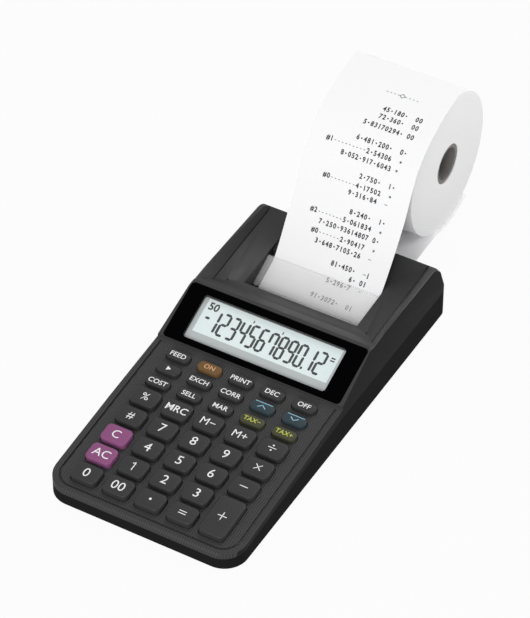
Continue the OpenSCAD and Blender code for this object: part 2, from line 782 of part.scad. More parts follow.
// Cradle behind the case that the roll lies in; two tongues hook into the rear wall
module roll_holder() {
    cradle_r = wrap_r + paper_t / 2 + gap;
    half_w = 19;
    profile = concat(
        [[rear_y(6.5), 6.5], [rear_y(14.8), 14.8], [229.5, 14.8], [230.6, 18.3]],
        arc(roll_axis, cradle_r, 251.5, 296, 10),
        [[264.6, 22.6], [266.4, 18], [262, 14.4], [238, 8.6]]
    );
    in_frame() color(case_black) difference() {
        union() {
            along_x(2 * half_w) polygon(profile);
            for (s = [-1, 1]) translate([s * 12 - 3.6, rear_y(8.7) - 4, 7.5]) cube([7.2, 6, 2.4]);
        }
        // hollow underside
        along_x(2 * half_w - 4) polygon([
            [208, 0], [208, 12.8], [231.6, 12.8], [233.6, 15.4], [245, 14.6], [258, 17.4], [262, 17],
            [260, 8]
        ]);
    }
}

upper_case();
lower_case();
display_window();
lcd_panel();
main_board();
key_mat();
printer_cover();
paper_cutter();
printer_frame();
print_drum();
ink_roller();
platen_roller();
printer_motor();
motor_gear();
paper_roll();
paper_strip();
roll_holder();
battery_cover();
batteries();
feet();
screws();
for (name = KEYS) key(name);
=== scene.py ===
import math
import bmesh
import bpy
from mathutils import Matrix, Vector


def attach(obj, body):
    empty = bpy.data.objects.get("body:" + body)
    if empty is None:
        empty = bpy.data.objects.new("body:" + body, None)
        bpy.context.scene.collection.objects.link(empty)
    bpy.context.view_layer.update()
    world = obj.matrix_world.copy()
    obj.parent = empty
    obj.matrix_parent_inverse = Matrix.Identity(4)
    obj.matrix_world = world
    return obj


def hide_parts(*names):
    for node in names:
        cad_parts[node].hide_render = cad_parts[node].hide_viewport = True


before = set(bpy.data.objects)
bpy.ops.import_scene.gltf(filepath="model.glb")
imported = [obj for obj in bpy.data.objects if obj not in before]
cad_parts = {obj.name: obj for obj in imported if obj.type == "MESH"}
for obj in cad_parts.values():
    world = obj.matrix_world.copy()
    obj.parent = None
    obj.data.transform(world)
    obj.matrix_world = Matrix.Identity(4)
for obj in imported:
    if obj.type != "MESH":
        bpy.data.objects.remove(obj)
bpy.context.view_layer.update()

# All lengths below are in millimetres unless a comment says metres: x to the right, y from the
# front edge of the case, z up from the desk. MM is one millimetre in metres. CASE turns points into
# the frame's metres; DECK and BEZEL do the same for points given along the slope of the keys or of
# the display and at right angles to it.
MM = 0.001
MIDDLE_Y = 141.4
DECK_Z, DECK_TILT = 10.4, math.radians(5.5)
BEZEL_Y, BEZEL_Z, BEZEL_TILT = 101.3, 21.7, math.radians(21.8)
CASE = Matrix.Scale(MM, 4) @ Matrix.Translation((0, -MIDDLE_Y, 0))
DECK = CASE @ Matrix.Translation((0, 0, DECK_Z)) @ Matrix.Rotation(DECK_TILT, 4, "X")
BEZEL = CASE @ Matrix.Translation((0, BEZEL_Y, BEZEL_Z)) @ Matrix.Rotation(BEZEL_TILT, 4, "X")


# ---------------------------------------------------------------- shader maths

class Value:
    """One output of a shader node; arithmetic on it adds maths nodes."""

    def __init__(self, nodes, socket):
        self.nodes = nodes
        self.socket = socket

    def math(self, operation, first, second=0.0):
        return self.nodes.node("ShaderNodeMath", {0: first, 1: second}, operation=operation)

    def __add__(self, other):
        return self.math("ADD", self, other)

    def __sub__(self, other):
        return self.math("SUBTRACT", self, other)

    def __rsub__(self, other):
        return self.math("SUBTRACT", other, self)

    def __mul__(self, other):
        return self.math("MULTIPLY", self, other)

    def sine(self):
        return self.math("SINE", self)

    def root(self):
        return self.math("SQRT", self)

    def or_more(self, other):
        """The larger of the two."""
        return self.math("MAXIMUM", self, other)

    def above(self, edge, soft):
        """0 below the edge, 1 above it, with a soft step between."""
        limits = {0: self, 1: edge - soft, 2: edge + soft}
        return self.nodes.node("ShaderNodeMapRange", limits, clamp=True)


class Nodes:
    """A node tree that is built from Python expressions."""

    def __init__(self, tree):
        self.tree = tree

    def node(self, kind, inputs=None, out=0, **settings):
        made = self.tree.nodes.new(kind)
        for key, value in settings.items():
            setattr(made, key, value)
        for key, value in (inputs or {}).items():
            self.link(value, made.inputs[key])
        return Value(self, made.outputs[out])

    def link(self, value, socket):
        if isinstance(value, Value):
            self.tree.links.new(value.socket, socket)
        else:
            socket.default_value = value

    def place(self):
        """x, y and z in millimetres from the middle of the part, and the plain object vector."""
        vector = self.node("ShaderNodeTexCoord", out="Object")
        split = self.node("ShaderNodeSeparateXYZ", {0: vector}).socket.node
        return [Value(self, output) * (1 / MM) for output in split.outputs] + [vector]

    def noise(self, vector, scale, detail=2.0):
        return self.node("ShaderNodeTexNoise", {"Vector": vector, "Scale": scale, "Detail": detail})

    def mix(self, factor, first, second):
        made = self.node("ShaderNodeMix", {0: factor}, data_type="RGBA").socket.node
        self.link((*first, 1), made.inputs[6])
        self.link((*second, 1), made.inputs[7])
        return Value(self, made.outputs[2])

    def seen_directly(self, mirrored=1.0):
        """1 for rays from the camera or through a clear surface, and mirrored for reflected rays."""
        rays = self.node("ShaderNodeLightPath").socket.node
        names = ("Is Camera Ray", "Is Glossy Ray", "Is Transmission Ray")
        camera, glossy, through = [Value(self, rays.outputs[name]) for name in names]
        return camera.or_more(glossy * mirrored).or_more(through)


class Finish(Nodes):
    """A material with one Principled node; keyword arguments are its plain constants."""

    def __init__(self, name, colour, roughness=0.5, specular=0.5, metallic=0.0, alpha=1.0):
        self.material = bpy.data.materials.new(name)
        self.material.use_nodes = True
        super().__init__(self.material.node_tree)
        self.colour = colour
        self.roughness = roughness
        self.bsdf = self.tree.nodes["Principled BSDF"]
        constants = {"Base Color": (*colour, 1), "Roughness": roughness, "Metallic": metallic,
                     "Specular IOR Level": specular, "Alpha": alpha}
        for socket, value in constants.items():
            self.bsdf.inputs[socket].default_value = value

    def set(self, socket, value):
        self.link(value, self.bsdf.inputs[socket])

    def bump(self, height_mm):
        """A relief whose height is given in millimetres."""
        relief = {"Strength": 1.0, "Distance": MM, "Height": height_mm}
        self.set("Normal", self.node("ShaderNodeBump", relief))

    def grained(self, scale, relief_mm, tone, patchy=0.1, detail=2.0):
        """Fine grain: a relief, a change of tone either way, and patches of another roughness."""
        vector = self.place()[3]
        grain = self.noise(vector, scale, detail)
        self.bump(grain * relief_mm)
        darker = tuple(c * (1 - tone) for c in self.colour)
        lighter = tuple(c * (1 + tone) for c in self.colour)
        self.set("Base Color", self.mix(grain, darker, lighter))
        patches = self.noise(vector, scale * 0.1)
        self.set("Roughness", patches * patchy + (self.roughness - patchy / 2))
        return self.material


def linear(level):
    """A screen level, 0 to 255, as the linear value that materials take."""
    return level / 255 / 12.92 if level < 10.3 else ((level / 255 + 0.055) / 1.055) ** 2.4


def rgb(red, green, blue):
    return linear(red), linear(green), linear(blue)


def grey(level):
    """A grey with a trace of blue."""
    return rgb(level, level, level + 1)


# ---------------------------------------------------------------- materials

RIM_Y = 101.0
RIPPLE_PITCH = 1.25


def rippled_deck():
    """Moulded black plastic with fine wavy ripples round the keys, and plain grain behind them; the
    colour is painted lighter and darker along the ripples as their light and shade.
    """
    f = Finish("case_plastic", grey(50), roughness=0.42, specular=0.13)
    x, y, _, vector = f.place()
    drift = f.noise(vector, 160) * 2.6
    wander = (y * 0.9 + x * 0.25).sine() * 0.7
    wave = (x * (2 * math.pi / RIPPLE_PITCH) + drift + wander).sine()
    front = 1 - y.above(RIM_Y - MIDDLE_Y, 0.3)
    grain = f.noise(vector, 1500, 1.0)
    f.bump(wave * front * 0.05 + grain * 0.03)
    f.set("Roughness", grain * 0.12 + 0.38)
    # the tone follows the ripples' wave as painted light and shade, on top of the grain's random tone
    f.set("Base Color", f.mix(wave * front * 0.3 + grain * 0.3 + 0.35, grey(46), grey(68)))
    return f.material


def wound_edge():
    """The edge of the wound paper: very fine rings about the roll's axis."""
    f = Finish("roll_side", grey(229), roughness=0.8, specular=0.2)
    _, y, z, _ = f.place()
    dy, dz = y - (ROLL_Y - MIDDLE_Y), z - ROLL_Z
    radius = (dy * dy + dz * dz).root()
    winding = {"W": radius * 2.2, "Detail": 4.0, "Scale": 1.0}
    rings = f.node("ShaderNodeTexNoise", winding, noise_dimensions="1D")
    f.set("Base Color", f.mix(rings, grey(230), grey(247)))
    f.bump(rings * 0.1)
    return f.material


def wrapped_cell():
    """A printed sleeve with a paler band near one end of each cell."""
    f = Finish("cell_wrap", rgb(58, 88, 138), roughness=0.3)
    x, _, _, vector = f.place()
    f.set("Base Color", f.mix(x.above(14.0, 0.2), rgb(52, 80, 128), rgb(206, 208, 212)))
    f.bump(f.noise(vector, 500) * 0.01)
    return f.material


ROLL_Y, ROLL_Z, ROLL_R, ROLL_X = 245.2, 55.35, 37.6, (-29.0, 28.5)
CORE_R, CORE_X = (8.6, 10.6), (-28.6, 28.1)
ROLL_STEPS = 160

MAT = {
    "case": rippled_deck(),
    "cover": Finish("cover_plastic", grey(46), 0.38, 0.2).grained(1500, 0.03, 0.16),
    # the sides: the case plastic made darker and almost without sheen, as painted shade on the case's
    # sideways faces
    "side": Finish("side_plastic_painted_shade", grey(38), 0.40, 0.014).grained(1500, 0.02, 0.12),
    # the base: the case plastic made darker still and almost without sheen, as painted shade on the
    # walls of the lower case; the roll holder and battery cover take it too
    "base": Finish("base_plastic_painted_shade", grey(29), 0.5, 0.006).grained(1400, 0.03, 0.14),
    "key": Finish("key_dark", grey(53), 0.42, 0.13).grained(1700, 0.012, 0.08),
    "key_magenta": Finish("key_magenta", rgb(136, 80, 122), 0.36, 0.13).grained(1700, 0.01, 0.06),
    "key_orange": Finish("key_orange", rgb(108, 82, 52), 0.4, 0.13).grained(1700, 0.01, 0.06),
    "key_blue": Finish("key_blue", rgb(50, 62, 68), 0.42, 0.13).grained(1700, 0.01, 0.06),
    "key_olive": Finish("key_olive", rgb(68, 69, 52), 0.42, 0.13).grained(1700, 0.01, 0.06),
    "print_white": Finish("print_white", grey(236), 0.5, 0.2).grained(2500, 0.003, 0.03),
    "print_olive": Finish("print_olive", rgb(190, 194, 84), 0.5, 0.2).grained(2500, 0.003, 0.03),
    "print_orange": Finish("print_orange", rgb(228, 176, 124), 0.5, 0.2).grained(2500, 0.003, 0.03),
    "print_blue": Finish("print_blue", rgb(150, 196, 220), 0.5, 0.2).grained(2500, 0.003, 0.03),
    "ink": Finish("ink", grey(58), 0.7, 0.2).grained(3000, 0.0, 0.35, detail=4.0),
    "window_black": Finish("window_black", grey(2), 0.1, 0.01).grained(60, 0.002, 0.1, 0.03),
    "window_clear": Finish("window_clear", (1, 1, 1), 0.05, 0.1, alpha=0.04).material,
    "lcd_frame": Finish("lcd_frame", rgb(176, 182, 182), 0.5, 0.2).grained(900, 0.004, 0.03),
    "lcd_glass": Finish("lcd_glass", rgb(224, 236, 236), 0.3, 0.1).grained(300, 0.001, 0.02),
    "lcd_digit": Finish("lcd_digit", rgb(14, 20, 24), 0.4, 0.05).grained(900, 0.001, 0.05),
    "paper": Finish("paper", grey(250), 0.8, 0.1).grained(900, 0.02, 0.01),
    "roll_side": wound_edge(),
    "core": Finish("core_card", rgb(128, 126, 124), 0.8, 0.1).grained(500, 0.03, 0.06, detail=4.0),
    "cutter": Finish("cutter_clear", rgb(254, 254, 254), 0.25, 0.4,
                     alpha=0.22).grained(400, 0.002, 0.01),
    "steel": Finish("steel", grey(172), 0.3, metallic=1.0).grained(700, 0.002, 0.05),
    "rubber": Finish("rubber", grey(38), 0.75, 0.2).grained(1600, 0.02, 0.15),
    "gear": Finish("gear_plastic", rgb(232, 228, 216), 0.5, 0.3).grained(900, 0.004, 0.02),
    "ink_foam": Finish("ink_foam", rgb(58, 40, 96), 0.85, 0.1).grained(1400, 0.12, 0.25),
    "board": Finish("board_green", rgb(32, 92, 56), 0.35, 0.3).grained(250, 0.004, 0.12),
    "cell": wrapped_cell(),
}


# ---------------------------------------------------------------- mesh tools

# corners closer than MERGE_M metres are one, and faces within FLAT_ANGLE of each other are joined
MERGE_M, FLAT_ANGLE = 2e-6, math.radians(0.8)
CORNER_STEPS = 6


def piece(name, bm, materials, body, smooth=30, outward=True):
    """A finished object that moves with a body; edges sharper than smooth, in degrees, stay hard."""
    if outward:
        bmesh.ops.recalc_face_normals(bm, faces=bm.faces)
    mesh = bpy.data.meshes.new(name)
    bm.to_mesh(mesh)
    bm.free()
    for m in materials:
        mesh.materials.append(MAT[m])
    if smooth:
        mesh.shade_smooth()
        mesh.set_sharp_from_angle(angle=math.radians(smooth))
    obj = bpy.data.objects.new(name, mesh)
    bpy.context.scene.collection.objects.link(obj)
    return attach(obj, body)


def stands_for(obj, node):
    """Hides the CAD node, so that the piece takes its place and its finish; obj is not used."""
    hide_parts(node)


def from_node(node):
    """The CAD node's mesh with its doubled corners merged and its flat faces joined."""
    bm = bmesh.new()
    bm.from_mesh(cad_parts[node].data)
    bmesh.ops.remove_doubles(bm, verts=bm.verts, dist=MERGE_M)
    bmesh.ops.dissolve_limit(bm, angle_limit=FLAT_ANGLE, verts=bm.verts, edges=bm.edges)
    return bm


def soften(obj, width_mm, segments, angle):
    """A bevel on every edge that is sharper than the angle, in degrees."""
    bevel = obj.modifiers.new("soft_edges", "BEVEL")
    bevel.width = width_mm * MM
    bevel.segments = segments
    bevel.limit_method = "ANGLE"
    bevel.angle_limit = math.radians(angle)
    bevel.use_clamp_overlap = True


def flat_face(bm, place, size=0.5):
    """Adds one square face from -size to size, moved to its place, and returns its corners."""
    made = bmesh.ops.create_grid(bm, x_segments=1, y_segments=1, size=size, matrix=place)
    return made["verts"]


def bevelled(bm, geom, width, steps, affect="EDGES"):
    """Rounds edges, or the corners of a flat face where affect is VERTICES."""
    bmesh.ops.bevel(bm, geom=geom, offset=width, affect=affect, segments=steps, profile=0.5,
                    material=-1)


def plate(width, length, corner):
    """A new mesh with one flat face whose corners are round, centred on the origin."""
    bm = bmesh.new()
    flat_face(bm, Matrix.Diagonal((width, length, 1, 1)))
    bevelled(bm, bm.verts[:], corner, CORNER_STEPS, "VERTICES")
    return bm


def pulled(bm, faces, height, keep=False):
    """Pulls faces along z with walls behind them, and returns them; keep leaves an end face behind."""
    made = bmesh.ops.extrude_face_region(bm, geom=faces)["geom"]
    if not keep:
        bmesh.ops.delete(bm, geom=faces, context="FACES_ONLY")
    verts = [g for g in made if isinstance(g, bmesh.types.BMVert)]
    bmesh.ops.translate(bm, vec=(0, 0, height), verts=verts)
    return [g for g in made if isinstance(g, bmesh.types.BMFace)]


def round_over(bm, faces, radius, steps):
    """Rounds the edges about a flat region."""
    bevelled(bm, list({edge for face in faces for edge in face.edges}), radius, steps)


def add(bm, other, place=None, material=None):
    """Adds another mesh to this one, moved to its place, and frees it."""
    if place is not None:
        bmesh.ops.transform(other, matrix=place, verts=other.verts)
    if material is not None:
        for face in other.faces:
            face.material_index = material
    carrier = bpy.data.meshes.new("carrier")
    other.to_mesh(carrier)
    other.free()
    bm.from_mesh(carrier)
    bpy.data.meshes.remove(carrier)


# ---------------------------------------------------------------- printed marks

CAP_HEIGHT = 0.7
OUTLINES = {}


def outlines(text, weight):
    """The text in the built-in font as a flat mesh, kept for the next use."""
    if (text, weight) not in OUTLINES:
        curve = bpy.data.curves.new("lettering", "FONT")
        curve.body = text
        curve.resolution_u = 3
        curve.offset = weight
        obj = bpy.data.objects.new("lettering", curve)
        bpy.context.scene.collection.objects.link(obj)
        view = bpy.context.evaluated_depsgraph_get()
        OUTLINES[text, weight] = bpy.data.meshes.new_from_object(obj.evaluated_get(view))
        bpy.data.objects.remove(obj)
        bpy.data.curves.remove(curve)
    return OUTLINES[text, weight]


def lettering(text, height, weight=0.0, width=1.0):
    """A new flat mesh of a line of text, centred on the origin; height is that of its capitals."""
    bm = bmesh.new()
    bm.from_mesh(outlines(text, weight))
    xs = [v.co.x for v in bm.verts]
    scale = height / CAP_HEIGHT
    bmesh.ops.translate(bm, vec=(-(min(xs) + max(xs)) / 2, -CAP_HEIGHT / 2, 0), verts=bm.verts)
    bmesh.ops.scale(bm, vec=(scale * width, scale, 1), verts=bm.verts)
    return bm


def bar(bm, x0, y0, x1, y1, width, blunt=0.0):
    """A straight printed line; blunt cuts its corners."""
    run = Vector((x1 - x0, y1 - y0))
    turn = Matrix.Rotation(math.atan2(run.y, run.x), 4, "Z")
    place = Matrix.Translation(((x0 + x1) / 2, (y0 + y1) / 2, 0)) @ turn
    corners = flat_face(bm, place @ Matrix.Diagonal((run.length + width, width, 1, 1)))
    if blunt:
        bevelled(bm, corners, blunt, 1, "VERTICES")


def dot(bm, x, y, radius, corners=16, turn=0.0):
    """A filled round mark, or with three corners a pointer that points up before its turn."""
    place = Matrix.Translation((x, y, 0)) @ Matrix.Rotation(math.radians(turn), 4, "Z")
    bmesh.ops.create_circle(bm, cap_ends=True, segments=corners, radius=radius, matrix=place)


def drawn(bars, dots):
    """A new flat mesh of straight lines and dots, each given as what bar or dot takes."""
    bm = bmesh.new()
    for line in bars:
        bar(bm, *line)
    for spot in dots:
        dot(bm, *spot)
    return bm


# the signs that aren't words or numbers: bars as (x0, y0, x1, y1, width) and dots as (x, y, radius),
# where a dot may add its corners and its turn
ROOF_LINE = (-4.4, 2.0, 4.4, 2.0, 0.35)
ICONS = {
    "play": ([], [(0, 0, 1.5, 3, -90)]),
    "up": ([(-1.9, -1.05, 0, 0.45, 0.42), (0, 0.45, 1.9, -1.05, 0.42), ROOF_LINE], []),
    "down": ([(-1.9, 0.45, 0, -1.05, 0.42), (0, -1.05, 1.9, 0.45, 0.42), ROOF_LINE], []),
    "divide": ([(-1.9, 0, 1.9, 0, 0.42)], [(0, 1.5, 0.48), (0, -1.5, 0.48)]),
    "times": ([(-1.5, -1.5, 1.5, 1.5, 0.42), (-1.5, 1.5, 1.5, -1.5, 0.42)], []),
    "minus": ([(-1.9, 0, 1.9, 0, 0.45)], []),
    "plus": ([(-2.1, 0, 2.1, 0, 0.45), (0, -2.1, 0, 2.1, 0.45)], []),
    "equals": ([(-1.7, 0.7, 1.7, 0.7, 0.45), (-1.7, -0.7, 1.7, -0.7, 0.45)], []),
    "point": ([], [(0, 0, 0.65)]),
    "one": ([(0.3, -2.25, 0.3, 2.25, 0.5), (-0.8, 1.5, 0.3, 2.25, 0.5)], []),
}


# ---------------------------------------------------------------- keys

COLUMN, ROW, SMALL_ROW = 17.07, 12.95, 9.4
FIRST_ROW, FIRST_SMALL_ROW = 12.1, 74.9
LARGE = (13.6, 10.2, 3.0)
TALL = (13.6, 23.15, 3.0)
SMALL = (12.4, 5.6, 2.2)
CORNER, SKIRT, WALL = 2.4, 0.7, 1.2
SKIRT_Z = (-2.7, -1.9)
SMALL_EDGE, LARGE_EDGE, EDGE_STEPS = 0.8, 1.0, 5
LEGEND_LIFT, WORD_WEIGHT = 0.02, 0.01

# name: (column, row, size, cap material, legend, height of its capitals or None for an icon,
#        and the legend's material where it isn't white); column 2 lies on the middle line, and the
#        rows of small keys are counted apart from those of large keys
KEYS = {
    "key_0": (0, 0, LARGE, "key", "0", 5.0),
    "key_00": (1, 0, LARGE, "key", "00", 5.0),
    "key_point": (2, 0, LARGE, "key", "point", None),
    "key_equals": (3, 0, LARGE, "key", "equals", None),
    "key_all_clear": (0, 1, LARGE, "key_magenta", "AC", 4.6),
    "key_1": (1, 1, LARGE, "key", "one", None),
    "key_2": (2, 1, LARGE, "key", "2", 5.0),
    "key_3": (3, 1, LARGE, "key", "3", 5.0),
    "key_add": (4, 0.5, TALL, "key", "plus", None),
    "key_clear": (0, 2, LARGE, "key_magenta", "C", 4.6),
    "key_4": (1, 2, LARGE, "key", "4", 5.0),
    "key_5": (2, 2, LARGE, "key", "5", 5.0),
    "key_6": (3, 2, LARGE, "key", "6", 5.0),
    "key_subtract": (4, 2, LARGE, "key", "minus", None),
    "key_number": (0, 3, LARGE, "key", "#", 4.2),
    "key_7": (1, 3, LARGE, "key", "7", 5.0),
    "key_8": (2, 3, LARGE, "key", "8", 5.0),
    "key_9": (3, 3, LARGE, "key", "9", 5.0),
    "key_multiply": (4, 3, LARGE, "key", "times", None),
    "key_percent": (0, 4, LARGE, "key", "%", 4.2),
    "key_memory_recall": (1, 4, LARGE, "key", "MRC", 3.9),
    "key_memory_minus": (2, 4, LARGE, "key", "M−", 4.2),
    "key_memory_plus": (3, 4, LARGE, "key", "M+", 4.2),
    "key_divide": (4, 4, LARGE, "key", "divide", None),
    "key_cost": (0, 0, SMALL, "key", "COST", 2.7),
    "key_sell": (1, 0, SMALL, "key", "SELL", 2.7),
    "key_margin": (2, 0, SMALL, "key", "MAR", 2.7),
    "key_tax_minus": (3, 0, SMALL, "key_olive", "TAX−", 2.5, "print_olive"),
    "key_tax_plus": (4, 0, SMALL, "key_olive", "TAX+", 2.5, "print_olive"),
    "key_backspace": (0, 1, SMALL, "key", "play", None),
    "key_exchange": (1, 1, SMALL, "key", "EXCH", 2.7),
    "key_correct": (2, 1, SMALL, "key", "CORR", 2.7),
    "key_up": (3, 1, SMALL, "key_blue", "up", None, "print_blue"),
    "key_down": (4, 1, SMALL, "key_blue", "down", None, "print_blue"),
    "key_feed": (0, 2, SMALL, "key", "FEED", 2.7),
    "key_on": (1, 2, SMALL, "key_orange", "ON", 2.6, "print_orange"),
    "key_print": (2, 2, SMALL, "key", "PRINT", 2.7),
    "key_decimal": (3, 2, SMALL, "key", "DEC", 2.7),
    "key_off": (4, 2, SMALL, "key", "OFF", 2.7),
}


def key_cap(name, column, row, size, cap, legend, height, printed="print_white"):
    """A hollow cap on a thin skirt, with a rounded top edge and its legend on the flat of the top."""
    width, length, top_z = size
    small = size is SMALL
    row_y = FIRST_SMALL_ROW + row * SMALL_ROW if small else FIRST_ROW + row * ROW
    bm = plate(width + 2 * SKIRT, length + 2 * SKIRT, CORNER + SKIRT)
    bmesh.ops.translate(bm, vec=(0, 0, SKIRT_Z[0]), verts=bm.verts)
    under = bm.faces[:]
    top = pulled(bm, under, SKIRT_Z[1] - SKIRT_Z[0], keep=True)
    bmesh.ops.inset_region(bm, faces=top, thickness=SKIRT, use_even_offset=True, use_boundary=True)
    top = pulled(bm, top, top_z - SKIRT_Z[1])
    round_over(bm, top, SMALL_EDGE if small else LARGE_EDGE, EDGE_STEPS)
    bmesh.ops.inset_region(bm, faces=under, thickness=SKIRT + WALL, use_even_offset=True,
                           use_boundary=True)
    pulled(bm, under, top_z - WALL - SKIRT_Z[0])
    if height is None:
        marks = drawn(*ICONS[legend])
    else:
        marks = lettering(legend, height, WORD_WEIGHT if len(legend) > 2 else 0.0)
    add(bm, marks, Matrix.Translation((0, 0, top_z + LEGEND_LIFT)), 1)
    centre = Matrix.Translation(((column - 2) * COLUMN, row_y / math.cos(DECK_TILT), 0))
    bmesh.ops.transform(bm, matrix=DECK @ centre, verts=bm.verts)
    stands_for(piece(name + "_cap", bm, (cap, printed), name + "_body", smooth=50), name)


for key, facts in KEYS.items():
    key_cap(key, *facts)


# ---------------------------------------------------------------- case and printer

# the ridges are the sharp edges beyond RIDGE_X and above RIDGE_Z; the flanks are the faces that look
# sideways beyond FLANK_X, and they take a darker copy of the case plastic as painted shade
RIDGE_X, RIDGE_Z, RIDGE_R, RIDGE_STEPS = 48.0, 28.0, 1.6, 4
RIDGE_RUN, RIDGE_ANGLE = 0.4, math.radians(60)
FLANK_X, FLANK_NORMAL = 47.0, 0.85
SOFTEN_ANGLE = 28


def round_ridges(bm):
    """Rounds the outer edges along both sides of the top, behind the display, and down their ends."""
    ridges = []
    for edge in bm.edges:
        a, b = (v.co / MM for v in edge.verts)
        outside = min(a.z, b.z) > RIDGE_Z and min(abs(a.x), abs(b.x)) > RIDGE_X
        if outside and abs(a.y - b.y) > RIDGE_RUN and edge.is_convex:
            if edge.calc_face_angle(0) > RIDGE_ANGLE:
                ridges.append(edge)
    bevelled(bm, ridges, RIDGE_R * MM, RIDGE_STEPS)


def is_flank(face):
    return abs(face.normal.x) > FLANK_NORMAL and abs(face.calc_center_median().x) > FLANK_X * MM


def dressed(node, material, bevel_mm=0.0, body="case", shaded_flank=None, segments=2, smooth=32):
    """The CAD node's own shape with softened edges; the flank finish, painted shade, is a darker copy
    of the case plastic for the case's smooth sides.
    """
    bm = from_node(node)
    materials = (material,)
    if shaded_flank:
        materials = (material, shaded_flank)
        round_ridges(bm)
        # the sideways faces take the darker flank finish, painted shade
        for face in bm.faces:
            face.material_index = int(is_flank(face))
    obj = piece(node + "_shown", bm, materials, body, smooth=smooth, outward=False)
    if bevel_mm:
        soften(obj, bevel_mm, segments, SOFTEN_ANGLE)
    stands_for(obj, node)


dressed("upper_case", "case", 0.35, shaded_flank="side", smooth=45)
# the lower case takes the darker base plastic, painted shade on its walls
dressed("lower_case", "base", 0.35)
dressed("printer_cover", "cover", 0.5, body="cover", segments=3, smooth=45)
dressed("roll_holder", "base", 0.4)
dressed("battery_cover", "base", 0.2, body="battery_door")
dressed("feet", "rubber", 0.3)
dressed("paper_cutter", "cutter", body="cover")
dressed("platen_roller", "rubber", body="platen")
dressed("print_drum", "rubber", body="drum")
dressed("ink_roller", "ink_foam", body="ink")
dressed("motor_gear", "gear", body="rotor")
dressed("printer_frame", "steel")
dressed("printer_motor", "steel", 0.4)
dressed("screws", "steel")
dressed("batteries", "cell", 0.4)
dressed("main_board", "board")
dressed("key_mat", "rubber")


# ---------------------------------------------------------------- display

# along the slope of the display: the window's width, length and corner radius, its middle, the
# x0, x1, y0, y1 of its clear pane and of the glass below it, and heights above the slope
WINDOW = (96.0, 31.2, 2.0)
WINDOW_MIDDLE, WINDOW_Z, WINDOW_EDGE = 15.9, (-1.4, 0.1), 0.25
OPENING, OPENING_CORNER = (-38.7, 38.4, 3.5, 27.45), 1.6
GLASS = (-36.4, 36.6, 8.5, 26.9)
GLASS_Z, DIGIT_Z = -1.48, -1.46
DIGITS, DIGIT_X, DIGIT_PITCH, DIGIT_FOOT = "123456789012", -26.9, 5.25, 10.9
DIGIT_W, DIGIT_H, STROKE = 3.35, 11.4, 1.3
SEGMENTS = {"0": "abcdef", "1": "bc", "2": "abged", "3": "abgcd", "4": "fgbc", "5": "afgcd",
            "6": "afgedc", "7": "fabc", "8": "abcdefg", "9": "abcdfg", "-": "g"}


def display_window():
    """A glossy plate: a black border and a clear pane with round corners, above and below."""
    apart = 20.0
    x0, x1, y0, y1 = OPENING
    bm = plate(*WINDOW)
    bmesh.ops.translate(bm, vec=(0, WINDOW_MIDDLE, 0), verts=bm.verts)
    bmesh.ops.delete(bm, geom=bm.faces[:], context="FACES_ONLY")
    # the loops are joined while the pane is held above the border, so their corners pair rightly
    pane = plate(x1 - x0, y1 - y0, OPENING_CORNER)
    add(bm, pane, Matrix.Translation(((x0 + x1) / 2, (y0 + y1) / 2, apart)), 1)
    bmesh.ops.bridge_loops(bm, edges=[e for e in bm.edges if len(e.link_faces) < 2])
    bmesh.ops.scale(bm, vec=(1, 1, 0), verts=bm.verts)
    for face in bm.faces:
        face.material_index = int(len(face.verts) > 4)
    bmesh.ops.translate(bm, vec=(0, 0, WINDOW_Z[0]), verts=bm.verts)
    top = pulled(bm, bm.faces[:], WINDOW_Z[1] - WINDOW_Z[0], keep=True)
    bmesh.ops.recalc_face_normals(bm, faces=bm.faces)
    rim = {e for face in top for e in face.edges if e.calc_face_angle(0) > 1}
    bevelled(bm, list(rim), WINDOW_EDGE, 3)
    bmesh.ops.transform(bm, matrix=BEZEL, verts=bm.verts)
    materials = ("window_black", "window_clear")
    stands_for(piece("window_plate", bm, materials, "case", smooth=20), "display_window")


def segment_digit(bm, right, base, char, width=DIGIT_W):
    """A seven-segment digit whose right edge is at right."""
    left, mid, top = right - width, base + DIGIT_H / 2, base + DIGIT_H
    lines = {"a": (left, top, right, top), "d": (left, base, right, base), "g": (left, mid, right, mid),
             "b": (right, mid, right, top), "c": (right, base, right, mid),
             "f": (left, mid, left, top), "e": (left, base, left, mid)}
    gap, blunt = STROKE * 0.62, STROKE * 0.4
    for name in SEGMENTS[char]:
        x0, y0, x1, y1 = lines[name]
        dx, dy = gap * (x1 > x0), gap * (y1 > y0)
        bar(bm, x0 + dx, y0 + dy, x1 - dx, y1 - dy, STROKE, blunt)


def lcd_marks():
    """The number on the display: digits, a minus, its point and commas, an equals sign and a 50."""
    marks = bmesh.new()
    for i, char in enumerate(DIGITS):
        segment_digit(marks, DIGIT_X + DIGIT_PITCH * i, DIGIT_FOOT, char)
    segment_digit(marks, -31.2, DIGIT_FOOT + 0.6, "-", width=2.8)
    bar(marks, 21.75, DIGIT_FOOT, 21.75, DIGIT_FOOT + 0.3, 1.0)
    for x in (-10.4, 5.4):
        bar(marks, x, DIGIT_FOOT + 12.6, x, DIGIT_FOOT + 13.4, 0.6)
    for y in (19.9, 21.3):
        bar(marks, 33.3, y, 34.7, y, 0.75)
    add(marks, lettering("50", 3.9, 0.03), Matrix.Translation((-32.2, 23.6, 0)))
    return marks


def lcd():
    """Grey frame, pale glass and dark segments; its body is the CAD node's own block and ribbon."""
    bm = from_node("lcd_panel")
    x0, x1, y0, y1 = GLASS
    height, middle = y1 - y0, (y0 + y1) / 2
    glass = bmesh.new()
    bar(glass, x0 + height / 2, middle, x1 - height / 2, middle, height)
    add(bm, glass, BEZEL @ Matrix.Translation((0, 0, GLASS_Z)), 1)
    add(bm, lcd_marks(), BEZEL @ Matrix.Translation((0, 0, DIGIT_Z)), 2)
    materials = ("lcd_frame", "lcd_glass", "lcd_digit")
    stands_for(piece("lcd", bm, materials, "case", smooth=0), "lcd_panel")


display_window()
lcd()


